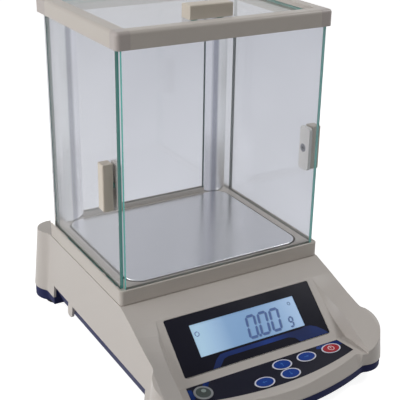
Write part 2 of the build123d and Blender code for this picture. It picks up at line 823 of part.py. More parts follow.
for x, y in post_screw_places:
    base -= rod(x, y, deck_z - past, deck_z + post_screw_head, post_screw_head_radius)
    base -= rod(x, y, deck_z, shield_top_z + past, post_screw_radius)
save(base, "draft_shield_base")

shield_screws = [screw(x, y, deck_z - housing_wall - shield_screw_head, shield_screw_radius,
                       shield_screw_head_radius, shield_screw_head, shield_screw_length, 1)
                 for x, y in shield_screw_places]
save(shield_screws, "shield_screws")


# Rear posts: a bowed front, a groove for the rear pane and a hollow beside the door
def post(side):
    front = Line((post_outer_x, post_y), (post_bow_x, post_y))
    bow = ThreePointArc(
        (post_bow_x, post_y),
        ((post_bow_x + post_inner_x) / 2, (post_y + rear_pane_y - groove_lip) / 2 - post_bow),
        (post_inner_x, rear_pane_y - groove_lip),
    )
    rest = Polyline((post_inner_x, rear_pane_y - groove_lip), (post_inner_x, shield_rear_y),
                    (post_outer_x, shield_rear_y), (post_outer_x, post_y))
    outline_face = make_face([front, bow] + list(rest.edges()))
    shape = extrude(Pos(0, 0, shield_top_z) * outline_face, amount=shield_inside_height)
    top = frame_z + past
    shape -= block(post_inner_x - past, post_inner_x + rear_pane_grip, rear_pane_y - pane_fit,
                   rear_pane_y + glass + pane_fit, shield_top_z - past, top)
    shape -= block(post_outer_x - post_skin - post_hollow_width, post_outer_x - post_skin, post_y + post_skin,
                   shield_rear_y - post_skin, shield_top_z - past, top)
    for x, y in post_screw_places:
        if x > 0:
            low_tip = deck_z + post_screw_length
            high_tip = rear_bar_top - post_screw_length
            shape -= rod(x, y, shield_top_z - past, low_tip, post_screw_radius)
            shape -= rod(x, y, high_tip, top, post_screw_radius)
    return shape if side > 0 else mirror(shape, about=Plane.YZ)


save(post(-1), "rear_post_left")
save(post(1), "rear_post_right")
guide = block(strip_x, strip_x + guide_strip, post_y, shield_rear_y, shield_top_z, frame_z)
save([guide, mirror(guide, about=Plane.YZ)], "door_guides")

post_screws = []
for x, y in post_screw_places:
    post_screws.append(screw(x, y, deck_z, post_screw_radius, post_screw_head_radius, post_screw_head,
                             post_screw_length, 1))
    post_screws.append(screw(x, y, rear_bar_top, post_screw_radius, post_screw_head_radius, post_screw_head,
                             post_screw_length, -1))
save(post_screws, "post_screws")

# Fixed panes
pane_inner_half = pane_half - glass_fit
front_glass = block(-pane_inner_half, pane_inner_half, pane_y, pane_y + glass, groove_z + glass_fit,
                    frame_z + door_top_in_groove)
save(front_glass, "front_glass")
rear_half = rear_groove_half - pane_fit
rear_glass = block(-rear_half, rear_half, rear_pane_y, rear_pane_y + glass,
                   shield_top_z + rear_ledge_height - groove_depth + pane_fit, frame_z + rear_pane_top)
save(rear_glass, "rear_glass")

# Top frame: one section for the rails and the ends, with a groove below for the door and one inside
# for the top pane
frame_front_y = shield_y - top_overhang_front
frame_rear_y = shield_rear_y + top_overhang_rear
rail_inner_x = top_half_width - rail_width
top_glass_low = frame_z + top_glass_z
top_glass_high = top_glass_low + glass
top_glass_half = rail_inner_x + top_glass_grip


def rail_block(y0, y1):
    shape = block(rail_inner_x, top_half_width, y0, y1, frame_z, frame_top_z)
    edges = shape.edges().filter_by(Axis.Y).group_by(Axis.Z)[-1]
    return fillet(edges.sort_by(Axis.X)[-1], frame_edge_radius)


def frame_grooves():
    door = block(door_inner_x - glass_fit, door_outer_x + glass_fit, door_front_y - glass_fit,
                 frame_rear_y + past, frame_z - past, frame_z + top_groove_depth)
    pane = block(-pane_half, pane_half, pane_y - glass_fit, pane_y + glass + glass_fit, frame_z - past,
                 frame_z + top_groove_depth)
    roof_front = frame_front_y + bar_depth - top_glass_front_grip
    roof = block(-top_glass_half - glass_fit, top_glass_half + glass_fit, roof_front, frame_rear_y + past,
                 top_glass_low - glass_fit, top_glass_high + glass_fit)
    rear = block(-rear_groove_half, rear_groove_half, rear_pane_y - pane_fit, rear_pane_y + glass + pane_fit,
                 frame_z - past, frame_z + rear_pane_top + pane_fit)
    return both_sides(door) + pane + roof + rear


grooves = frame_grooves()
corner_y = frame_front_y + corner_length
rear_corner_y = frame_rear_y - rear_corner_length
corner_x = top_half_width - corner_length

# Pegs on the corner pieces that go into the bars and rails
peg_z0 = frame_z + peg_lift
peg_z1 = peg_z0 + peg_height
bar_peg_y = pane_y + glass + glass_fit + peg_skin
rail_peg_x = rail_inner_x + peg_skin
bar_peg = block(corner_x - peg_length, corner_x, bar_peg_y, bar_peg_y + peg_width, peg_z0, peg_z1)
rail_peg = block(rail_peg_x, rail_peg_x + peg_width, corner_y, corner_y + peg_length, peg_z0, peg_z1)
rear_rail_peg = block(rail_peg_x, rail_peg_x + peg_width, rear_corner_y - peg_length, rear_corner_y,
                      peg_z0, peg_z1)
rear_peg_y = rear_pane_y + glass + pane_fit + peg_skin
rear_bar_peg = block(rear_bar_half - peg_length, rear_bar_half, rear_peg_y, rear_peg_y + peg_width,
                     peg_z0, peg_z1)

front_bar = block(-corner_x, corner_x, frame_front_y, frame_front_y + bar_depth, frame_z, frame_top_z)
front_top_edge = front_bar.edges().filter_by(Axis.X).group_by(Axis.Z)[-1].sort_by(Axis.Y)[0]
front_bar = fillet(front_top_edge, frame_edge_radius)
front_bar -= grooves
front_bar -= both_sides(bar_peg)
save(front_bar, "top_front_bar")

rail = rail_block(corner_y, rear_corner_y) - grooves - rail_peg - rear_rail_peg
save(rail, "top_right_rail")
save(mirror(rail, about=Plane.YZ), "top_left_rail")

front_corner = block(corner_x, top_half_width, frame_front_y, corner_y, frame_z, frame_top_z)
upright = front_corner.edges().filter_by(Axis.Z).sort_by(Axis.Y)[:2].sort_by(Axis.X)[-1]
front_corner = fillet(upright, frame_corner_radius)
top_edges = front_corner.faces().sort_by(Axis.Z)[-1].edges()
rounded = [edge for edge in top_edges if edge.center().Y < corner_y - 0.1 and edge.center().X > corner_x + 0.1]
front_corner = fillet(rounded, frame_edge_radius)
front_corner = front_corner - grooves + bar_peg + rail_peg
save([front_corner, mirror(front_corner, about=Plane.YZ)], "top_front_corners")

rear_bar_y = rear_pane_y - rear_bar_front
rear_bar = block(-rear_bar_half, rear_bar_half, rear_bar_y, frame_rear_y, frame_z, rear_bar_top)
rear_bar = rear_bar - grooves - both_sides(rear_bar_peg)
save(rear_bar, "top_rear_bar")

rear_corner = rail_block(rear_corner_y, frame_rear_y)
rear_corner += block(rear_bar_half, rail_inner_x + past, rear_corner_y, frame_rear_y, frame_z, rear_bar_top)
upright = rear_corner.edges().filter_by(Axis.Z).sort_by(Axis.X)[-2:].sort_by(Axis.Y)[-1]
rear_corner = fillet(upright, rear_corner_radius)
rear_corner = rear_corner - grooves + rear_rail_peg + rear_bar_peg
for x, y in post_screw_places:
    rear_corner -= rod(x, y, frame_z - past, rear_bar_top, post_screw_radius)
    rear_corner -= rod(x, y, rear_bar_top - post_screw_head, rear_bar_top + past, post_screw_head_radius)
save([rear_corner, mirror(rear_corner, about=Plane.YZ)], "top_rear_corners")

# Side doors with their two-part handles
handle_low = shield_top_z + handle_z
handle_high = handle_low + handle_height
handle_middle = (handle_low + handle_high) / 2
hole_y = shield_y + handle_screw_setback
door = block(door_inner_x, door_outer_x, door_front_y, shield_rear_y, door_bottom_z, door_top_z)


def cross_rod(x0, x1, radius):
    return Pos((x0 + x1) / 2, hole_y, handle_middle) * Rot(0, 90, 0) * Cylinder(radius, x1 - x0)


door -= cross_rod(door_inner_x - past, door_outer_x + past, handle_hole_radius)
handle_outer = block(door_outer_x, door_outer_x + handle_outer_depth, shield_y + handle_outer_setback,
                     shield_y + handle_outer_setback + handle_outer_width, handle_low, handle_high)
handle_outer = fillet(handle_outer.faces().sort_by(Axis.X)[-1].edges(), handle_edge_radius)
screw_tip_x = door_inner_x - handle_plate + handle_screw_length
handle_outer -= cross_rod(door_outer_x - past, screw_tip_x, handle_screw_radius)
plate_y = shield_y + handle_plate_setback
handle_inner = block(door_inner_x - handle_plate, door_inner_x, plate_y, plate_y + handle_plate_width,
                     handle_low, handle_high)
handle_inner = fillet(handle_inner.edges().filter_by(Axis.X), handle_corner_radius)
plate_x = door_inner_x - handle_plate
handle_screw = cross_rod(plate_x, plate_x + handle_screw_head, handle_screw_head_radius)
handle_screw += cross_rod(plate_x + handle_screw_head, screw_tip_x, handle_screw_radius)
handle_inner -= handle_screw
for side, name in ((-1, "left"), (1, "right")):
    for shape, node in ((door, "door_glass"), (handle_outer, "handle_outer"), (handle_inner, "handle_inner"),
                        (handle_screw, "handle_screw")):
        save(shape if side > 0 else mirror(shape, about=Plane.YZ), f"{name}_{node}")

# Top door
top_front_y = frame_front_y + bar_depth - top_glass_front_grip + glass_fit
top_glass = block(-top_glass_half, top_glass_half, top_front_y, shield_rear_y + top_glass_tail, top_glass_low,
                  top_glass_high)
top_handle_y = shield_y + top_handle_setback
top_handle = block(-top_handle_length / 2, top_handle_length / 2, top_handle_y, top_handle_y + top_handle_depth,
                   top_glass_high, top_glass_high + top_handle_height)
top_handle = fillet(top_handle.faces().sort_by(Axis.Z)[-1].edges(), handle_edge_radius)
top_screws = []
for x in (-top_screw_spacing / 2, top_screw_spacing / 2):
    y = top_handle_y + top_handle_depth / 2
    one = screw(x, y, top_glass_low - handle_screw_head, handle_screw_radius, handle_screw_head_radius,
                handle_screw_head, handle_screw_length, 1)
    top_screws.append(one)
    top_handle -= one
    top_glass -= rod(x, y, top_glass_low - past, top_glass_high + past, handle_hole_radius)
save(top_glass, "top_door_glass")
save(top_handle, "top_handle")
save(top_screws, "top_handle_screws")

# Display window and module
save(sunk(display_slope, window_outline(-window_fit), 0, window_thickness), "display_window")
lcd = sunk(display_slope, lcd_outline(lcd_opening_grow - lcd_fit), window_thickness, bezel_frame)
lcd += sunk(display_slope, lcd_outline(lcd_body_grow), bezel_frame, display_board_depth)
board_middle = Pos(0, -window_margin - lcd_top - lcd_length / 2)
display_board = board_middle * Rectangle(display_board_width, display_board_length)
lcd += sunk(display_slope, display_board, display_board_depth, display_board_depth + board_thickness)
for spot in display_posts:
    hole = Pos(*spot) * Circle(board_screw_radius)
    lcd -= sunk(display_slope, hole, bezel_frame, display_board_depth + board_thickness + past)
save(lcd, "lcd_module")

# Keypad membrane with a raised ring round each key
overlay = sunk(keypad_slope, overlay_outline(), 0, overlay_thickness)
for x, down in key_spots.values():
    overlay += sunk(keypad_slope, Pos(x, -down) * Ellipse(ring_width / 2, ring_length / 2), -ring_rise, 0)
for oval in key_ovals(key_gap):
    overlay -= sunk(keypad_slope, oval, -past, overlay_thickness + past)
overlay -= sunk(keypad_slope, level_circle(level_cup_radius), -past, overlay_thickness + past)
save(overlay, "keypad_overlay")

flange_top = overlay_thickness + key_rest_gap
for (name, (x, down)), cap, flange in zip(key_spots.items(), key_ovals(0), key_ovals(key_flange_grow)):
    key = sunk(keypad_slope, cap, -key_proud, flange_top)
    key += sunk(keypad_slope, flange, flange_top, flange_top + key_flange)
    stem_end = key_board_depth - switch_height - key_travel - key_rest_gap
    key += sunk(keypad_slope, Pos(x, -down) * Circle(key_stem_radius), flange_top + key_flange, stem_end)
    save(key, name)

key_board = Pos(key_board_x, -key_board_down) * Rectangle(key_board_width, key_board_length)
key_board = sunk(keypad_slope, key_board, key_board_depth, key_board_depth + board_thickness)
for x, down in key_spots.values():
    key_board += sunk(keypad_slope, Pos(x, -down) * Rectangle(switch_side, switch_side),
                      key_board_depth - switch_height, key_board_depth)
for spot in key_posts:
    key_board -= sunk(keypad_slope, Pos(*spot) * Circle(board_screw_radius), key_skin_depth,
                      key_board_depth + board_thickness + past)
save(key_board, "key_board")

# Bubble level
cup = sunk(keypad_slope, level_circle(level_cup_radius), -level_proud, level_cup_depth)
cup -= sunk(keypad_slope, level_circle(level_lens_radius), -level_proud - past, level_cup_depth - level_floor)
save(cup, "bubble_level_cup")
save(sunk(keypad_slope, level_circle(level_lens_radius), -level_proud, level_lens_depth), "bubble_level_lens")

# Main board with the power jack and the serial socket at its rear edge
board_y0 = main_board_front
board_y1 = socket_face_y
board_top = main_board_z + board_thickness
main_board = block(main_board_x0, main_board_x1, board_y0, board_y1, main_board_z, board_top)
for across, along, long, wide, high in board_chips:
    chip_x = main_board_x0 + across
    chip_y = board_y0 + along
    main_board += block(chip_x, chip_x + wide, chip_y, chip_y + long, board_top, board_top + high)
for x, y in main_board_front_places + main_board_rear_places:
    main_board -= rod(x, y, main_board_z - past, main_board_z + board_thickness + past, board_screw_radius)
save(main_board, "main_board")

jack_rear = socket_face_y + jack_proud
jack = block(jack_x - jack_width / 2, jack_x + jack_width / 2, jack_rear - jack_length, jack_rear,
             jack_z, jack_z + jack_height)
jack_middle = jack_z + jack_height / 2
jack -= Pos(jack_x, jack_rear - jack_bore_depth / 2, jack_middle) * Rot(90, 0, 0) * \
    Cylinder(jack_bore_radius, jack_bore_depth)
jack += Pos(jack_x, jack_rear - (jack_bore_depth + jack_pin_set_back) / 2, jack_middle) * Rot(90, 0, 0) * \
    Cylinder(jack_pin_radius, jack_bore_depth - jack_pin_set_back)
save(jack, "power_jack")

socket = block(socket_x - socket_width / 2, socket_x + socket_width / 2, socket_face_y - socket_length,
               socket_face_y, jack_z, jack_z + socket_height)
shell_x0 = socket_x - socket_shell_width / 2
shell_x1 = socket_x + socket_shell_width / 2
shell_z0 = socket_z - socket_shell_height / 2
shell_z1 = socket_z + socket_shell_height / 2
socket += block(shell_x0, shell_x1, socket_face_y, socket_face_y + socket_proud, shell_z0, shell_z1)
socket -= block(shell_x0 + socket_shell, shell_x1 - socket_shell, socket_face_y,
                socket_face_y + socket_proud + past, shell_z0 + socket_shell, shell_z1 - socket_shell)
for row, count in ((-1, 4), (1, 5)):
    for place in range(count):
        x = socket_x + (place - (count - 1) / 2) * pin_pitch
        pin = Cylinder(pin_radius, pin_length)
        pin_y = socket_face_y + pin_length / 2
        socket += Pos(x, pin_y, socket_z + row * pin_row / 2) * Rot(90, 0, 0) * pin
save(socket, "serial_socket")


# Small screws that hold the boards: the same screw everywhere
def sunk_screw(plane, spot, depth):
    head = sunk(plane, Pos(*spot) * Circle(board_screw_head_radius), depth, depth + board_screw_head)
    return head + sunk(plane, Pos(*spot) * Circle(board_screw_radius), depth - board_screw_shank, depth)


display_board_back = display_board_depth + board_thickness
board_screws = [sunk_screw(display_slope, spot, display_board_back) for spot in display_posts]
board_screws += [sunk_screw(keypad_slope, spot, key_board_depth + board_thickness) for spot in key_posts]
head_top = main_board_z + board_thickness + board_screw_head
for x, y in main_board_front_places + main_board_rear_places:
    board_screws.append(screw(x, y, head_top, board_screw_radius, board_screw_head_radius, board_screw_head,
                              board_screw_head + board_screw_shank, -1))
save(board_screws, "board_screws")
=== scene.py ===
from math import cos, pi, radians, sin

import bmesh
import bpy
from mathutils import Matrix, Vector


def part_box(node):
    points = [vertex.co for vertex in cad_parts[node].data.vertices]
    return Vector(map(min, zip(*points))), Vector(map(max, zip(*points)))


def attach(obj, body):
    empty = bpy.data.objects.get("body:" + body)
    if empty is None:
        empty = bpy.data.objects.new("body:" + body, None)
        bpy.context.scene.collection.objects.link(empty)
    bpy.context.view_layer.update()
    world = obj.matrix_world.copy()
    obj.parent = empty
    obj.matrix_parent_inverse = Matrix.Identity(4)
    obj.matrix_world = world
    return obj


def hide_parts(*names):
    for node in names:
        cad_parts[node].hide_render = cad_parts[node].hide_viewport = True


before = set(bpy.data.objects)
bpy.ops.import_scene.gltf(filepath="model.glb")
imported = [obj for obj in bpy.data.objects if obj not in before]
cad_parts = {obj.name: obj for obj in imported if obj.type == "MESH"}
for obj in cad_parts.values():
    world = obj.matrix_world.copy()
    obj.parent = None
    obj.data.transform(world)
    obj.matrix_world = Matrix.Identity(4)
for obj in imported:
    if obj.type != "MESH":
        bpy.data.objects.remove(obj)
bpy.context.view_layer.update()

# A precision balance with a glass draft shield. Everything is in metres, in the frame of the CAD: +Z up,
# the control panel towards -Y.
mm = 0.001

# Camera, as fitted to the photograph
camera_place = Vector((-0.3717, -0.6308, 0.4547))
camera_azimuth = radians(-30.44)
camera_elevation = radians(23.27)
camera_roll = radians(0.88)
camera_clip = 0.01
focal_pixels = 898.2
picture_width = 400
sensor_width = 36.0

# The two sloping faces of the console
display_tilt = radians(41.4)
window_thickness = 2.0 * mm
keypad_tilt = radians(4.5)
membrane_thickness = 0.8 * mm
membrane_ring_start = 0.1 * mm
top_face_slack = 0.05 * mm

# Display: distances across from the middle and down from the window's upper edge. The backlight grows
# brighter from its turn to its left end, the turn being a share of the way from the middle to that end.
window_corner = 1.4 * mm
window_edge = 0.25 * mm
edge_segments = 2
edge_angle = radians(40)
lcd_left = -52.5 * mm
lcd_right = 52.5 * mm
lcd_upper = 9.4 * mm
lcd_lower = 37.9 * mm
lcd_corner = 0.4 * mm
lcd_depth = 0.7 * mm
panel_overlap = 0.2 * mm
panel_gap = 0.1 * mm
backlight_turn = -0.35
ink_height = 0.04 * mm

# Numerals and the unit, a g of the same kind, with the bars of each that are lit. A mark is a ring: its place
# across and down and its radius.
digit_count = 3
digit_left = -2.4 * mm
digit_upper = 16.0 * mm
digit_width = 7.9 * mm
digit_height = 18.6 * mm
digit_pitch = 12.0 * mm
digit_stroke = 2.3 * mm
digit_gap = 0.2 * mm
digit_slant = 0.17
digit_bars = "abcdef"
point_radius = 0.55 * digit_stroke
point_sides = 16
unit_left = 38.6 * mm
unit_upper = 27.0 * mm
unit_width = 3.6 * mm
unit_height = 8.4 * mm
unit_stroke = 1.3 * mm
unit_bars = "abcdfg"
stable_mark = (-48.2 * mm, 18.0 * mm, 2.1 * mm)
zero_mark = (45.8 * mm, 15.0 * mm, 1.5 * mm)
mark_stroke = 0.4 * mm
# The numerals' painted shadow on the panel behind them lies this far down and across
figure_shadow = 0.45 * mm

# Printed shapes, each a list of places across and down in millimetres
band_outline = [(-46.5, 50.2), (-40.0, 43.0), (-35.5, 40.2), (-30.0, 39.9), (46.0, 39.9), (52.0, 38.9),
                (57.0, 39.4), (62.5, 41.9), (67.5, 45.9), (71.5, 50.2), (41.5, 50.2), (37.5, 45.6),
                (31.5, 43.6), (-29.0, 43.6), (-33.5, 44.6), (-39.5, 50.2)]
corner_outline = [(51.0, 3.4), (53.5, 0.5), (75.4, 0.5), (76.9, 6.6)]
stroke_outline = [(-60.4, 0.5), (-54.6, 0.5), (-58.4, 5.4), (-60.2, 7.2), (-64.6, 6.2)]
patch_outline = [(-76.1, 2.6), (-73.0, 3.4), (-73.6, 8.6), (-74.4, 13.6), (-78.6, 15.4)]

# The raised ring round the power key, in millimetres: its middle and its two half widths, and the part of
# its edge, in degrees, where the corner print ends
power_ring_middle = (63.3, 8.1)
power_ring_half = (9.35, 6.15)
power_ring_part = (348, 208)
power_ring_points = 20

# Signs on the keys
sign_radius = 3.0 * mm
sign_stroke = 0.7 * mm
sign_bar_upper = 0.75 * sign_radius
sign_bar_lower = 0.2 * sign_radius
sign_bar_height = 1.5 * ink_height
arrow_length = 4.4 * mm
arrow_head = 1.5 * mm

# Bubble level
level_ring = 2.6 * mm
level_ring_stroke = 0.25 * mm
bubble_radius = 2.1 * mm
bubble_rise = 0.3 * mm
bubble_offset = (1.3 * mm, -2.0 * mm)
bubble_rows = 6
bubble_sides = 24

# Screws
cross_size = 4.2 * mm
cross_width = 0.8 * mm
cross_proud = 0.05 * mm
cross_sink = 0.8 * mm

# Points nearer than this are one, in the made pieces and in the screws of the CAD
merge_distance = 1e-7
screw_merge_distance = 1e-6

# Rear posts: the distances from the middle of the shield between which their painted reflection changes, and
# where its dark band of painted shade starts and ends. The bright band is a painted highlight, and the faces
# turned to the rear are painted darker, as painted shade
post_shade_start = 66.0 * mm
post_shade_end = 96.0 * mm
post_shade_band = ((72.5 * mm, 75.5 * mm), (78.5 * mm, 80.5 * mm))
post_painted_highlight = (0.98, 0.98, 0.97)
post_flat = (0.93, 0.93, 0.96)
post_painted_shade = (0.44, 0.45, 0.51)
post_rear_painted_shade = (0.50, 0.51, 0.54)
post_line_stretch = (1, 1, 0.004)

# Glass: the tint of its faces, the green of its edges, the share of the light that it reflects face on, how
# steeply that grows towards a grazing angle, and how square to the pane a surface is to count as a face
glass_tint = (0.952, 0.955, 0.960)
glass_green = (0.16, 0.47, 0.43)
glass_face_on = 0.04
glass_falloff = 5.0
glass_face_limit = 0.7
glass_edge_stretch = (1, 1, 0.2)

# Noise mostly falls between these values
noise_low = 0.25
noise_high = 0.75

# Samples for edges that look worn round
worn_edge_samples = 6

# Studio
floor_half = 6.0
studio_grey = 0.115
floor_glow = 0.9
floor_grey = 0.55
floor_roughness = 0.9
glass_backdrop = (0.68, 0.69, 0.74)
glass_floor = (0.42, 0.43, 0.48)

# Lamps: the place of each, what it is aimed at, its width and its power in watts
lamps = [
    ("key_light", (-1.7, 0.25, 0.75), (0, 0, 0.12), 1.2, 18.5),
    ("top_light", (-0.2, 0.3, 1.8), (0, 0, 0.1), 1.4, 2.2),
    ("post_light", (-1.5, -0.75, 0.8), (0.08, 0.12, 0.2), 0.6, 3),
    ("corner_light", (1.0, -0.4, 1.3), (0, -0.05, 0.1), 0.5, 7),
]


# Materials

def new_material(name):
    material = bpy.data.materials.new(name)
    material.use_nodes = True
    tree = material.node_tree
    return material, tree, tree.nodes["Principled BSDF"]


def add(tree, kind, **values):
    node = tree.nodes.new(kind)
    for name, value in values.items():
        setattr(node, name, value)
    return node


# Links an input to another node's output, or sets it to a colour or a number
def feed(tree, socket, value):
    if isinstance(value, bpy.types.NodeSocket):
        tree.links.new(value, socket)
    elif isinstance(value, tuple):
        socket.default_value = (*value, 1)
    else:
        socket.default_value = value


def calculate(tree, operation, *values):
    node = add(tree, "ShaderNodeMath", operation=operation)
    for socket, value in zip(node.inputs, values):
        feed(tree, socket, value)
    return node.outputs["Value"]


def split(tree, vector):
    node = add(tree, "ShaderNodeSeparateXYZ")
    tree.links.new(vector, node.inputs["Vector"])
    return node.outputs


# A value carried over from one range to another
def carried(tree, value, start, end, low=0.0, high=1.0, kind="LINEAR"):
    node = add(tree, "ShaderNodeMapRange", interpolation_type=kind)
    for name, limit in (("From Min", start), ("From Max", end), ("To Min", low), ("To Max", high)):
        node.inputs[name].default_value = limit
    tree.links.new(value, node.inputs["Value"])
    return node.outputs["Result"]


# A pattern of noise spread over a range
def spread(tree, pattern, low, high):
    return carried(tree, pattern, noise_low, noise_high, low, high, "SMOOTHSTEP")


def object_place(tree):
    return add(tree, "ShaderNodeTexCoord").outputs["Object"]


def surface_normal(tree):
    return add(tree, "ShaderNodeTexCoord").outputs["Normal"]


def stretched_place(tree, stretch=(1, 1, 1)):
    mapping = add(tree, "ShaderNodeMapping")
    mapping.inputs["Scale"].default_value = stretch
    tree.links.new(object_place(tree), mapping.inputs["Vector"])
    return mapping.outputs["Vector"]


def noise(tree, place, scale, detail=3.0):
    node = add(tree, "ShaderNodeTexNoise")
    node.inputs["Scale"].default_value = scale
    node.inputs["Detail"].default_value = detail
    tree.links.new(place, node.inputs["Vector"])
    return node.outputs["Fac"]


def blend_colours(tree, factor, first, second):
    mix = add(tree, "ShaderNodeMix", data_type="RGBA")
    feed(tree, mix.inputs["Factor"], factor)
    feed(tree, mix.inputs["A"], first)
    feed(tree, mix.inputs["B"], second)
    return mix.outputs["Result"]


def blend_shaders(tree, factor, first, second):
    mix = add(tree, "ShaderNodeMixShader")
    for socket, value in zip(mix.inputs, (factor, first, second)):
        tree.links.new(value, socket)
    return mix.outputs["Shader"]


def shaded(colour, amount):
    return tuple(channel * amount for channel in colour)


def vary_colour(tree, socket, pattern, colour, darkest, lightest):
    feed(tree, socket, blend_colours(tree, pattern, shaded(colour, darkest), shaded(colour, lightest)))


def vary_roughness(tree, shader, pattern, roughness, less, more):
    feed(tree, shader.inputs["Roughness"], spread(tree, pattern, roughness - less, roughness + more))


# Raises the surface by a pattern, over edges worn round to a small radius where one is given
def roughen(tree, shader, pattern, depth, edge=0.0):
    node = add(tree, "ShaderNodeBump")
    node.inputs["Distance"].default_value = depth
    tree.links.new(pattern, node.inputs["Height"])
    if edge:
        worn = add(tree, "ShaderNodeBevel", samples=worn_edge_samples)
        worn.inputs["Radius"].default_value = edge
        tree.links.new(worn.outputs["Normal"], node.inputs["Normal"])
    tree.links.new(node.outputs["Normal"], shader.inputs["Normal"])


# Moulded plastic: a slight unevenness of colour and gloss over a fine grain
def moulded_plastic(name, colour, roughness, grain=0.02 * mm, gloss=0.5, edge=0.0):
    material, tree, shader = new_material(name)
    place = stretched_place(tree)
    cloud = noise(tree, place, scale=25.0)
    speckle = noise(tree, place, scale=1400.0, detail=2.0)
    vary_colour(tree, shader.inputs["Base Color"], cloud, colour, darkest=0.965, lightest=1.035)
    vary_roughness(tree, shader, cloud, roughness, less=0.04, more=0.05)
    shader.inputs["Specular IOR Level"].default_value = gloss
    roughen(tree, shader, speckle, grain, edge)
    return material


# A glossy print that shades from one colour to another
def shaded_print(name, deep, bright, roughness, gloss):
    material, tree, shader = new_material(name)
    cloud = noise(tree, stretched_place(tree), scale=32.0, detail=1.0)
    colour = blend_colours(tree, spread(tree, cloud, 0.0, 1.0), deep, bright)
    feed(tree, shader.inputs["Base Color"], colour)
    shader.inputs["Specular IOR Level"].default_value = gloss
    shader.inputs["Roughness"].default_value = roughness
    return material


# Metal with fine lines drawn along one axis, shown in its colour
def drawn_metal(name, colour, roughness, stretch=(1, 1, 1)):
    material, tree, shader = new_material(name)
    lines = noise(tree, stretched_place(tree, stretch), scale=700.0, detail=2.0)
    cloud = noise(tree, stretched_place(tree), scale=12.0)
    vary_colour(tree, shader.inputs["Base Color"], lines, colour, darkest=0.96, lightest=1.04)
    vary_roughness(tree, shader, cloud, roughness, less=0.04, more=0.06)
    shader.inputs["Metallic"].default_value = 1.0
    return material


# The extruded posts: painted reflection in bands told by the distance from the middle, a flat face, then a
# dark band of painted shade, then a bright band of painted highlight, and painted shade on the faces turned
# to the rear
def extruded_metal(name, painted_bands, rear_shade, roughness):
    material, tree, shader = new_material(name)
    from_middle = calculate(tree, "ABSOLUTE", split(tree, stretched_place(tree))["X"])
    ramp = add(tree, "ShaderNodeValToRGB")
    tree.links.new(carried(tree, from_middle, post_shade_start, post_shade_end), ramp.inputs["Fac"])
    stops = ramp.color_ramp.elements
    stops.remove(stops[1])
    for at, (distance, colour) in enumerate(painted_bands):
        share = (distance - post_shade_start) / (post_shade_end - post_shade_start)
        stop = stops.new(share) if at else stops[0]
        stop.position = share
        stop.color = (*colour, 1)
    # Painted shade on the faces turned to the rear
    rearward = carried(tree, split(tree, surface_normal(tree))["Y"], 0.0, 1.0, kind="SMOOTHSTEP")
    feed(tree, shader.inputs["Base Color"], blend_colours(tree, rearward, ramp.outputs["Color"], rear_shade))
    lines = noise(tree, stretched_place(tree, post_line_stretch), scale=700.0)
    vary_roughness(tree, shader, lines, roughness, less=0.01, more=0.02)
    shader.inputs["Metallic"].default_value = 1.0
    return material


def cast_metal(name, colour, roughness):
    material, tree, shader = new_material(name)
    grain = noise(tree, stretched_place(tree), scale=500.0)
    vary_colour(tree, shader.inputs["Base Color"], grain, colour, darkest=0.85, lightest=1.0)
    vary_roughness(tree, shader, grain, roughness, less=0.05, more=0.08)
    shader.inputs["Metallic"].default_value = 1.0
    roughen(tree, shader, grain, depth=0.05 * mm)
    return material


# Plate glass: clear and slightly tinted through its faces, green in its cut edges. The faces are those
# square to the pane's thickness.
def plate_glass(name, across, tint, edge):
    material, tree, shader = new_material(name)
    squareness = calculate(tree, "ABSOLUTE", split(tree, surface_normal(tree))[across])
    is_face = calculate(tree, "GREATER_THAN", squareness, glass_face_limit)

    clear = add(tree, "ShaderNodeBsdfTransparent")
    haze = spread(tree, noise(tree, stretched_place(tree), scale=9.0, detail=1.0), 0.0, 1.0)
    vary_colour(tree, clear.inputs["Color"], haze, tint, darkest=0.985, lightest=1.015)
    gloss = add(tree, "ShaderNodeBsdfGlossy")
    gloss.inputs["Roughness"].default_value = 0.02
    # The share reflected depends on the angle, alike on the way in and out of the pane
    grazing = add(tree, "ShaderNodeLayerWeight").outputs["Facing"]
    share = carried(tree, calculate(tree, "POWER", grazing, glass_falloff), 0.0, 1.0, glass_face_on)
    face = blend_shaders(tree, share, clear.outputs["BSDF"], gloss.outputs["BSDF"])

    cloud = noise(tree, stretched_place(tree, glass_edge_stretch), scale=60.0)
    vary_colour(tree, shader.inputs["Base Color"], cloud, edge, darkest=0.75, lightest=1.2)
    shader.inputs["Roughness"].default_value = 0.12
    whole = blend_shaders(tree, is_face, shader.outputs["BSDF"], face)
    tree.links.new(whole, tree.nodes["Material Output"].inputs["Surface"])
    return material


# The display's backlight, a little brighter towards its two ends and brightest at the left one
def backlit_panel(name, middle, ends, left_end, strength, roughness):
    material, tree, shader = new_material(name)
    across = split(tree, stretched_place(tree, (1 / lcd_right, 1, 1)))["X"]
    square = calculate(tree, "MULTIPLY", across, across)
    leftward = carried(tree, across, backlight_turn, -1.0)
    colour = blend_colours(tree, leftward, blend_colours(tree, square, middle, ends), left_end)
    feed(tree, shader.inputs["Base Color"], colour)
    feed(tree, shader.inputs["Emission Color"], colour)
    shader.inputs["Emission Strength"].default_value = strength
    shader.inputs["Roughness"].default_value = roughness
    roughen(tree, shader, noise(tree, stretched_place(tree), scale=900.0), depth=0.005 * mm)
    return material


# The keypad's membrane: dark, with a pale print wherever a ring stands above its face
def membrane(name, ground, ring, roughness, gloss, slope):
    material, tree, shader = new_material(name)
    rise = add(tree, "ShaderNodeVectorMath", operation="DOT_PRODUCT")
    rise.inputs[1].default_value = slope.normal
    tree.links.new(object_place(tree), rise.inputs[0])
    ring_start = slope.normal.dot(slope.origin) + membrane_ring_start
    above = calculate(tree, "GREATER_THAN", rise.outputs["Value"], ring_start)
    feed(tree, shader.inputs["Base Color"], blend_colours(tree, above, ground, ring))
    grain = noise(tree, stretched_place(tree), scale=1100.0)
    vary_roughness(tree, shader, grain, roughness, less=0.04, more=0.05)
    shader.inputs["Specular IOR Level"].default_value = gloss
    roughen(tree, shader, grain, depth=0.01 * mm)
    return material


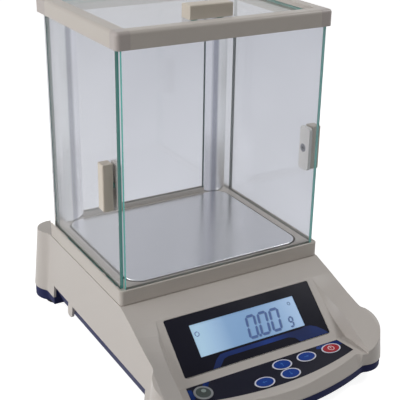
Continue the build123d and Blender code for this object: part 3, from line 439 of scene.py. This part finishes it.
# Places on a sloping face: across from the middle, down the slope and up from its surface
class Slope:
    def __init__(self, node, tilt, thickness):
        points = [vertex.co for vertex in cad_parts[node].data.vertices]
        self.normal = Vector((0, -sin(tilt), cos(tilt)))
        self.down = Vector((0, -cos(tilt), -sin(tilt)))
        under = min(self.normal.dot(point) for point in points)
        upper_edge = min(self.down.dot(point) for point in points)
        self.origin = self.normal * (under + thickness) + self.down * upper_edge

    def place(self, across, down, rise):
        return self.origin + Vector((across, 0, 0)) + self.down * down + self.normal * rise

    # The middle of a node's top face
    def spot(self, node):
        points = [vertex.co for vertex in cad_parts[node].data.vertices]
        top = max(self.normal.dot(point) for point in points)
        face = [point for point in points if self.normal.dot(point) > top - top_face_slack]
        downs = [self.down.dot(point - self.origin) for point in face]
        across = [point.x for point in face]
        rise = top - self.normal.dot(self.origin)
        return (min(across) + max(across)) / 2, (min(downs) + max(downs)) / 2, rise


display = Slope("display_window", display_tilt, window_thickness)
keypad = Slope("keypad_overlay", keypad_tilt, membrane_thickness)


# Making and placing pieces

def mesh_of(name, form):
    bmesh.ops.remove_doubles(form, verts=form.verts, dist=merge_distance)
    bmesh.ops.recalc_face_normals(form, faces=form.faces)
    mesh = bpy.data.meshes.new(name)
    form.to_mesh(mesh)
    form.free()
    return mesh


def add_object(name, data):
    made = bpy.data.objects.new(name, data)
    bpy.context.scene.collection.objects.link(made)
    return made


# A piece that rides on a body, and takes the place of the CAD nodes named last
def piece(name, form, material, body, slot, *nodes):
    made = add_object(name, mesh_of(name, form))
    made.data.materials.append(material)
    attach(made, body)
    if nodes:
        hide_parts(*nodes)
    return made


def add_row(form, slope, outline, height):
    return [form.verts.new(slope.place(x, down, height)) for x, down in outline]


# A belt of faces between two closed rows of points
def add_belt(form, first, second):
    count = len(first)
    for at in range(count):
        after = (at + 1) % count
        form.faces.new([first[at], first[after], second[after], second[at]])


# A flat prism on a slope, between two heights
def add_prism(form, slope, outline, low, high):
    bottom = add_row(form, slope, outline, low)
    top = add_row(form, slope, outline, high)
    form.faces.new(bottom)
    form.faces.new(top)
    add_belt(form, bottom, top)


# A flat ring on a slope, whose two outlines have the same number of points
def add_ring(form, slope, outer, inner, low, high):
    corners = ((outer, low), (outer, high), (inner, high), (inner, low))
    rows = [add_row(form, slope, outline, height) for outline, height in corners]
    for at, row in enumerate(rows):
        add_belt(form, row, rows[(at + 1) % len(rows)])


def add_round_ring(form, slope, x, down, radius, stroke, low, high):
    add_ring(form, slope, circle(x, down, radius), circle(x, down, radius - stroke), low, high)


def circle(x, down, radius, points=32):
    angles = [2 * pi * at / points for at in range(points)]
    return [(x + radius * cos(angle), down + radius * sin(angle)) for angle in angles]


# Places along the edge of an ellipse, from one angle to another in degrees
def arc(middle, half_widths, start, end, points):
    edge = []
    for at in range(points + 1):
        angle = radians(start + (end - start) * at / points)
        across = middle[0] + half_widths[0] * cos(angle)
        edge.append((across, middle[1] + half_widths[1] * sin(angle)))
    return edge


def rounded_rectangle(left, right, upper, lower, radius, points=6):
    outline = []
    corners = ((right - radius, lower - radius, 0), (left + radius, lower - radius, 90),
               (left + radius, upper + radius, 180), (right - radius, upper + radius, 270))
    for x, down, start in corners:
        outline += arc((x, down), (radius, radius), start, start + 90, points)
    return outline


def printed(name, slope, outlines, material, slot):
    form = bmesh.new()
    for outline in outlines:
        add_prism(form, slope, [(x * mm, down * mm) for x, down in outline], 0.0, ink_height)
    piece(name, form, material, "balance", slot)


# Display

def display_surround(material):
    low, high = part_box("display_window")
    lower = display.down.dot(Vector((0, low.y, low.z)) - display.origin)
    form = bmesh.new()
    outer = rounded_rectangle(low.x, high.x, 0.0, lower, window_corner)
    inner = rounded_rectangle(lcd_left, lcd_right, lcd_upper, lcd_lower, lcd_corner)
    add_ring(form, display, outer, inner, -window_thickness, 0.0)
    made = piece("display_surround", form, material, "balance", "window_plastic", "display_window")
    bevel = made.modifiers.new("soft_edges", "BEVEL")
    bevel.width = window_edge
    bevel.segments = edge_segments
    bevel.limit_method = "ANGLE"
    bevel.angle_limit = edge_angle


def lcd_panel(material):
    form = bmesh.new()
    outline = rounded_rectangle(lcd_left - panel_overlap, lcd_right + panel_overlap,
                                lcd_upper - panel_overlap, lcd_lower + panel_overlap, lcd_corner)
    add_prism(form, display, outline, -window_thickness + panel_gap, -lcd_depth)
    piece("lcd_panel", form, material, "balance", "lcd_plastic")


# One bar of a numeral, pointed at both ends, from one place to another
def bar(start, end, stroke):
    half = stroke / 2
    if start[0] == end[0]:
        x = start[0]
        up, low = start[1] + digit_gap, end[1] - digit_gap
        return [(x, up), (x + half, up + half), (x + half, low - half), (x, low), (x - half, low - half),
                (x - half, up + half)]
    down = start[1]
    left, right = start[0] + digit_gap, end[0] - digit_gap
    return [(left, down), (left + half, down - half), (right - half, down - half), (right, down),
            (right - half, down + half), (left + half, down + half)]


# A numeral is lit by naming its bars, clockwise from the top, with the middle one last
def numeral(left, upper, width, height, stroke, lit):
    middle = upper + height / 2
    lower = upper + height
    right = left + width
    bars = {
        "a": ((left, upper), (right, upper)),
        "b": ((right, upper), (right, middle)),
        "c": ((right, middle), (right, lower)),
        "d": ((left, lower), (right, lower)),
        "e": ((left, middle), (left, lower)),
        "f": ((left, upper), (left, middle)),
        "g": ((left, middle), (right, middle)),
    }
    return [bar(*bars[name], stroke) for name in lit]


def slanted(outline, base):
    return [(x + (base - down) * digit_slant, down) for x, down in outline]


def lcd_numerals(name, material, shift, height):
    form = bmesh.new()
    base = digit_upper + digit_height
    outlines = []
    for at in range(digit_count):
        left = digit_left + at * digit_pitch
        outlines += numeral(left, digit_upper, digit_width, digit_height, digit_stroke, digit_bars)
    point_x = digit_left + digit_width + (digit_pitch - digit_width) / 2
    outlines.append(circle(point_x, base, point_radius, point_sides))
    outlines += numeral(unit_left, unit_upper, unit_width, unit_height, unit_stroke, unit_bars)
    for outline in outlines:
        moved = [(x + shift, down + shift) for x, down in slanted(outline, base)]
        add_prism(form, display, moved, -lcd_depth, height - lcd_depth)
    for x, down, radius in (stable_mark, zero_mark):
        add_round_ring(form, display, x + shift, down + shift, radius, mark_stroke, -lcd_depth,
                       height - lcd_depth)
    piece(name, form, material, "balance", "lcd_plastic")


# Keys

def power_sign(material):
    x, down, rise = keypad.spot("key_power")
    form = bmesh.new()
    add_round_ring(form, keypad, x, down, sign_radius, sign_stroke, rise, rise + ink_height)
    half = sign_stroke / 2
    upper = down - sign_bar_upper
    lower = down + sign_bar_lower
    outline = [(x - half, upper), (x + half, upper), (x + half, lower), (x - half, lower)]
    add_prism(form, keypad, outline, rise, rise + sign_bar_height)
    piece("power_sign", form, material, "key_power_body", "key_red")


# An arrow on a blue key, turned to point its own way
def key_arrow(key, angle, material):
    x, down, rise = keypad.spot(key)
    half = sign_stroke / 2
    tip = arrow_length / 2
    neck = tip - arrow_head
    outline = [(-tip, -half), (neck, -half), (neck, -arrow_head), (tip, 0), (neck, arrow_head), (neck, half),
               (-tip, half)]
    turned = []
    for a, b in outline:
        turned.append((x + a * cos(angle) - b * sin(angle), down + a * sin(angle) + b * cos(angle)))
    form = bmesh.new()
    add_prism(form, keypad, turned, rise, rise + ink_height)
    piece(key.replace("key_", "sign_"), form, material, key + "_body", "key_blue")


# Bubble level: the marked circle and the bubble show through the lens, so they lie on its face
def bubble_level(ring_material, bubble_material):
    x, down, rise = keypad.spot("bubble_level_lens")
    form = bmesh.new()
    add_round_ring(form, keypad, x, down, level_ring, level_ring_stroke, rise, rise + ink_height)
    piece("level_mark", form, ring_material, "balance", "level_glass")

    form = bmesh.new()
    x += bubble_offset[0]
    down += bubble_offset[1]
    rings = []
    for row in range(bubble_rows):
        angle = pi / 2 * row / bubble_rows
        outline = circle(x, down, bubble_radius * cos(angle), bubble_sides)
        rings.append(add_row(form, keypad, outline, rise + bubble_rise * sin(angle)))
    tip = form.verts.new(keypad.place(x, down, rise + bubble_rise))
    form.faces.new(rings[0])
    for low, high in zip(rings, rings[1:]):
        add_belt(form, low, high)
    for at in range(bubble_sides):
        form.faces.new([rings[-1][at], rings[-1][(at + 1) % bubble_sides], tip])
    made = piece("level_bubble", form, bubble_material, "balance", "level_glass")
    made.data.polygons.foreach_set("use_smooth", [True] * len(made.data.polygons))


# Screws: a dark cross on each head that can be seen, painted shade where its recess is, repeated by Geometry
# Nodes
def cross_tree(material):
    tree = bpy.data.node_groups.new("screw_crosses", "GeometryNodeTree")
    face = tree.interface
    face.new_socket("Heads", in_out="INPUT", socket_type="NodeSocketGeometry")
    for name, value in (("Size", cross_size), ("Width", cross_width), ("Depth", cross_proud + cross_sink)):
        face.new_socket(name, in_out="INPUT", socket_type="NodeSocketFloat").default_value = value
    face.new_socket("Turn", in_out="INPUT", socket_type="NodeSocketVector")
    face.new_socket("Crosses", in_out="OUTPUT", socket_type="NodeSocketGeometry")
    start = add(tree, "NodeGroupInput")
    bars = add(tree, "GeometryNodeJoinGeometry")
    for long, wide in (("Size", "Width"), ("Width", "Size")):
        size = add(tree, "ShaderNodeCombineXYZ")
        tree.links.new(start.outputs[long], size.inputs["X"])
        tree.links.new(start.outputs[wide], size.inputs["Y"])
        tree.links.new(start.outputs["Depth"], size.inputs["Z"])
        cube = add(tree, "GeometryNodeMeshCube")
        tree.links.new(size.outputs["Vector"], cube.inputs["Size"])
        tree.links.new(cube.outputs["Mesh"], bars.inputs["Geometry"])
    repeated = add(tree, "GeometryNodeInstanceOnPoints")
    tree.links.new(start.outputs["Heads"], repeated.inputs["Points"])
    tree.links.new(bars.outputs["Geometry"], repeated.inputs["Instance"])
    tree.links.new(start.outputs["Turn"], repeated.inputs["Rotation"])
    real = add(tree, "GeometryNodeRealizeInstances")
    tree.links.new(repeated.outputs["Instances"], real.inputs["Geometry"])
    painted = add(tree, "GeometryNodeSetMaterial")
    painted.inputs["Material"].default_value = material
    tree.links.new(real.outputs["Geometry"], painted.inputs["Geometry"])
    end = add(tree, "NodeGroupOutput")
    tree.links.new(painted.outputs["Geometry"], end.inputs["Crosses"])
    return tree


def screw_crosses(name, tree, heads, turn, body):
    points = bpy.data.meshes.new(name + "_heads")
    points.from_pydata(heads, [], [])
    grower = add_object(name + "_grower", points)
    modifier = grower.modifiers.new("crosses", "NODES")
    modifier.node_group = tree
    for socket in tree.interface.items_tree:
        if socket.name == "Turn" and socket.in_out == "INPUT":
            modifier[socket.identifier] = turn
    graph = bpy.context.evaluated_depsgraph_get()
    mesh = bpy.data.meshes.new_from_object(grower.evaluated_get(graph))
    bpy.data.objects.remove(grower)
    mesh.name = name
    made = add_object(name, mesh)
    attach(made, body)


# The lowest and highest corner of each separate screw in a node, found from the loose parts of its mesh and
# listed in the order of their first points
def screw_boxes(node):
    form = bmesh.new()
    form.from_mesh(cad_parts[node].data)
    bmesh.ops.remove_doubles(form, verts=form.verts, dist=screw_merge_distance)
    waiting = set(form.verts)
    boxes = []
    for first in form.verts:
        if first not in waiting:
            continue
        waiting.remove(first)
        stack = [first]
        found = []
        while stack:
            vertex = stack.pop()
            found.append(vertex.co.copy())
            for edge in vertex.link_edges:
                other = edge.other_vert(vertex)
                if other in waiting:
                    waiting.remove(other)
                    stack.append(other)
        low = Vector([min(co[axis] for co in found) for axis in range(3)])
        high = Vector([max(co[axis] for co in found) for axis in range(3)])
        boxes.append((low, high))
    form.free()
    return boxes


# The heads of the handle screws face the chamber and those of the others face down
def all_screw_crosses(material):
    tree = cross_tree(material)
    sunk = (cross_sink - cross_proud) / 2
    for side, facing in (("left", 1), ("right", -1)):
        low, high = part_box(f"{side}_handle_screw")
        face = high.x if facing > 0 else low.x
        head = (face - facing * sunk, (low.y + high.y) / 2, (low.z + high.z) / 2)
        screw_crosses(f"{side}_handle_cross", tree, [head], (0, pi / 2, 0), f"{side}_door")
    for node, body in (("top_handle_screws", "top_door"), ("housing_screws", "balance")):
        heads = []
        for low, high in screw_boxes(node):
            heads.append(((low.x + high.x) / 2, (low.y + high.y) / 2, low.z + sunk))
        screw_crosses(node.replace("screws", "crosses"), tree, heads, (0, 0, 0), body)


# Studio

def make_camera():
    back = Vector((sin(camera_azimuth) * cos(camera_elevation), -cos(camera_azimuth) * cos(camera_elevation),
                   sin(camera_elevation)))
    forward = -back
    right = forward.cross(Vector((0, 0, 1))).normalized()
    up = right.cross(forward)
    rolled_right = right * cos(camera_roll) + up * sin(camera_roll)
    rolled_up = up * cos(camera_roll) - right * sin(camera_roll)
    lens = bpy.data.cameras.new("camera")
    lens.sensor_width = sensor_width
    lens.lens = focal_pixels / picture_width * sensor_width
    lens.clip_start = camera_clip
    camera = add_object("camera", lens)
    turn = Matrix((rolled_right, rolled_up, back)).transposed()
    camera.matrix_world = Matrix.Translation(camera_place) @ turn.to_4x4()
    bpy.context.scene.camera = camera


def make_lamps():
    for name, place, target, width, power in lamps:
        light = bpy.data.lights.new(name, "AREA")
        light.size = width
        light.energy = power
        made = add_object(name, light)
        made.location = place
        made.rotation_euler = (Vector(target) - Vector(place)).to_track_quat("-Z", "Y").to_euler()


# One where the camera, metal or glass looks at the background, and nought where it only lights
def background_seen(tree):
    path = add(tree, "ShaderNodeLightPath").outputs
    camera_or_glass = calculate(tree, "MAXIMUM", path["Is Camera Ray"], path["Is Transmission Ray"])
    return calculate(tree, "MAXIMUM", camera_or_glass, path["Is Glossy Ray"])


# One where the line of sight has passed through glass
def through_glass(tree):
    panes = add(tree, "ShaderNodeLightPath").outputs["Transparent Depth"]
    return calculate(tree, "GREATER_THAN", panes, 0.0)


def make_world():
    world = bpy.data.worlds.new("studio")
    bpy.context.scene.world = world
    world.use_nodes = True
    tree = world.node_tree
    backdrop = blend_colours(tree, through_glass(tree), (1, 1, 1), glass_backdrop)
    colour = blend_colours(tree, background_seen(tree), (studio_grey,) * 3, backdrop)
    tree.links.new(colour, tree.nodes["Background"].inputs["Color"])


def make_floor():
    form = bmesh.new()
    corners = ((-1, -1), (1, -1), (1, 1), (-1, 1))
    form.faces.new([form.verts.new((x * floor_half, y * floor_half, 0)) for x, y in corners])
    material, tree, shader = new_material("floor")
    feed(tree, shader.inputs["Base Color"], (floor_grey,) * 3)
    shader.inputs["Roughness"].default_value = floor_roughness
    shader.inputs["Specular IOR Level"].default_value = 0.0
    glow = add(tree, "ShaderNodeEmission")
    colour = blend_colours(tree, through_glass(tree), (floor_glow,) * 3, glass_floor)
    tree.links.new(colour, glow.inputs["Color"])
    tree.links.new(background_seen(tree), glow.inputs["Strength"])
    both = add(tree, "ShaderNodeAddShader")
    tree.links.new(shader.outputs["BSDF"], both.inputs[0])
    tree.links.new(glow.outputs["Emission"], both.inputs[1])
    tree.links.new(both.outputs["Shader"], tree.nodes["Material Output"].inputs["Surface"])
    floor = add_object("floor", mesh_of("floor", form))
    floor.data.materials.append(material)


# Finishes of the CAD nodes and the pieces
housing_beige = moulded_plastic("housing_beige", (0.565, 0.522, 0.485), roughness=0.42, edge=0.7 * mm)
shield_beige = moulded_plastic("shield_beige", (0.535, 0.488, 0.442), roughness=0.38, edge=0.5 * mm)
# The corner pieces: the shield's beige plastic painted darker, as painted shade on their rounded faces
corner_beige_painted_shade = moulded_plastic("corner_beige_painted_shade", (0.46, 0.41, 0.385), roughness=0.34, edge=0.5 * mm)
handle_cream = moulded_plastic("handle_cream", (0.64, 0.57, 0.48), roughness=0.4, edge=0.4 * mm)
# The inner handles: the outer handles' cream plastic painted paler, as painted light
handle_painted_light = moulded_plastic("handle_painted_light", (0.84, 0.82, 0.80), roughness=0.4, edge=0.4 * mm)
shell_navy = moulded_plastic("shell_navy", (0.025, 0.029, 0.090), roughness=0.6, gloss=0.06)
foot_black = moulded_plastic("foot_black", (0.02, 0.02, 0.022), roughness=0.5, gloss=0.3)
pad_rubber = moulded_plastic("pad_rubber", (0.016, 0.016, 0.016), roughness=0.75, grain=0.05 * mm, gloss=0.2)
board_green = moulded_plastic("board_green", (0.03, 0.16, 0.07), roughness=0.35)
jack_black = moulded_plastic("jack_black", (0.018, 0.018, 0.018), roughness=0.4)
window_black = moulded_plastic("window_black", (0.003, 0.003, 0.012), roughness=0.21, grain=0.002 * mm,
                               gloss=0.09)
blue_print = shaded_print("blue_print", (0.007, 0.022, 0.12), (0.014, 0.062, 0.36), roughness=0.2, gloss=0.15)
key_blue = moulded_plastic("key_blue", (0.007, 0.048, 0.29), roughness=0.33, grain=0.005 * mm, gloss=0.15)
key_red = moulded_plastic("key_red", (0.42, 0.012, 0.026), roughness=0.33, grain=0.005 * mm, gloss=0.2)
sign_pink = moulded_plastic("sign_pink", (0.90, 0.68, 0.70), roughness=0.4)
sign_blue = moulded_plastic("sign_blue", (0.04, 0.15, 0.50), roughness=0.4, gloss=0.2)
lcd_ink = moulded_plastic("lcd_ink", (0.075, 0.160, 0.43), roughness=0.5)
lcd_painted_shadow = moulded_plastic("lcd_painted_shadow", (0.22, 0.36, 0.58), roughness=0.5)
membrane_dark = membrane("membrane_dark", (0.009, 0.009, 0.020), (0.80, 0.80, 0.90), roughness=0.33,
                         gloss=0.12, slope=keypad)
backlight = backlit_panel("backlight", (0.170, 0.325, 0.56), (0.35, 0.52, 0.76), (0.42, 0.63, 0.81),
                          strength=0.35, roughness=0.3)
pan_steel = drawn_metal("pan_steel", (0.66, 0.66, 0.67), roughness=0.22, stretch=(0.02, 1, 1))
# Painted reflection on the posts: a flat face, a dark band of painted shade and a bright painted highlight
post_painted_bands = [(post_shade_band[0][0], post_flat), (post_shade_band[0][1], post_painted_shade), (post_shade_band[1][0], post_painted_shade),
               (post_shade_band[1][1], post_painted_highlight)]
post_aluminium = extruded_metal("post_aluminium", post_painted_bands, post_rear_painted_shade, roughness=0.24)
screw_steel = drawn_metal("screw_steel", (0.30, 0.30, 0.32), roughness=0.35)
plated = drawn_metal("plated", (0.72, 0.72, 0.72), roughness=0.16)
cast_grey = cast_metal("cast_grey", (0.52, 0.52, 0.54), roughness=0.5)
# Black: the printed circle of the level, and painted shade in the screws' cross recesses
black_print_and_recess_shade = moulded_plastic("black_print_and_recess_shade", (0.01, 0.01, 0.01), roughness=0.6)
cup_grey = moulded_plastic("cup_grey", (0.30, 0.31, 0.32), roughness=0.3, gloss=0.4)
level_liquid = moulded_plastic("level_liquid", (0.075, 0.095, 0.090), roughness=0.15, grain=0.001 * mm,
                               gloss=0.3)
level_bubble_pale = moulded_plastic("level_bubble_pale", (0.30, 0.36, 0.34), roughness=0.1, grain=0.001 * mm)
side_glass = plate_glass("side_glass", "X", glass_tint, glass_green)
end_glass = plate_glass("end_glass", "Y", glass_tint, glass_green)
roof_glass = plate_glass("roof_glass", "Z", glass_tint, glass_green)

node_finishes = [
    (housing_beige, ["upper_housing"]),
    (shield_beige, ["draft_shield_base", "top_front_bar", "top_rear_bar", "top_left_rail", "top_right_rail"]),
    (corner_beige_painted_shade, ["top_front_corners", "top_rear_corners"]),
    (handle_cream, ["left_handle_outer", "right_handle_outer", "top_handle"]),
    # The inner handles are painted light
    (handle_painted_light, ["left_handle_inner", "right_handle_inner"]),
    (shell_navy, ["lower_housing"]),
    (post_aluminium, ["rear_post_left", "rear_post_right", "door_guides"]),
    (side_glass, ["left_door_glass", "right_door_glass"]),
    (end_glass, ["front_glass", "rear_glass"]),
    (roof_glass, ["top_door_glass"]),
    (pan_steel, ["weighing_pan"]),
    (screw_steel, ["left_handle_screw", "right_handle_screw", "top_handle_screws", "housing_screws",
                   "chassis_screws", "load_cell_screws", "overload_stops", "shield_screws", "post_screws",
                   "board_screws"]),
    (pad_rubber, ["foot_pad_front_left", "foot_pad_front_right", "foot_pad_rear_left", "foot_pad_rear_right",
                  "pan_cushions"]),
    (foot_black, ["foot_screw_front_left", "foot_screw_front_right", "foot_screw_rear_left",
                  "foot_screw_rear_right"]),
    (cast_grey, ["chassis_plate", "load_bridge", "pan_carrier", "load_cell"]),
    (jack_black, ["power_jack", "lcd_module"]),
    (membrane_dark, ["keypad_overlay"]),
    (key_blue, ["key_lower_left", "key_upper_middle", "key_lower_middle", "key_upper_right"]),
    (key_red, ["key_power"]),
    (board_green, ["key_board", "main_board"]),
    (plated, ["serial_socket"]),
    (cup_grey, ["bubble_level_cup"]),
    (level_liquid, ["bubble_level_lens"]),
]
for finish, nodes in node_finishes:
    for node in nodes:
        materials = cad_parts[node].data.materials
        materials.clear()
        materials.append(finish)

display_surround(window_black)
lcd_panel(backlight)
lcd_numerals("lcd_numerals", lcd_ink, 0.0, ink_height)
# A painted shadow of the numerals and marks: a paler copy, moved down and across and half as high
lcd_numerals("lcd_shadows", lcd_painted_shadow, figure_shadow, ink_height / 2)
printed("display_band", display, [band_outline], blue_print, "window_plastic")
ring_edge = arc(power_ring_middle, power_ring_half, *power_ring_part, power_ring_points)
keypad_shapes = [corner_outline + ring_edge, stroke_outline, patch_outline]
printed("keypad_print", keypad, keypad_shapes, blue_print, "overlay_plastic")
power_sign(sign_pink)
key_arrow("key_lower_left", radians(180), sign_blue)
key_arrow("key_upper_middle", radians(-90), sign_blue)
key_arrow("key_lower_middle", radians(90), sign_blue)
key_arrow("key_upper_right", 0.0, sign_blue)
bubble_level(black_print_and_recess_shade, level_bubble_pale)
# The screws' crosses are painted shade standing in for their recesses
all_screw_crosses(black_print_and_recess_shade)

make_camera()
make_world()
make_floor()
make_lamps()
bpy.context.scene.view_settings.view_transform = "Standard"
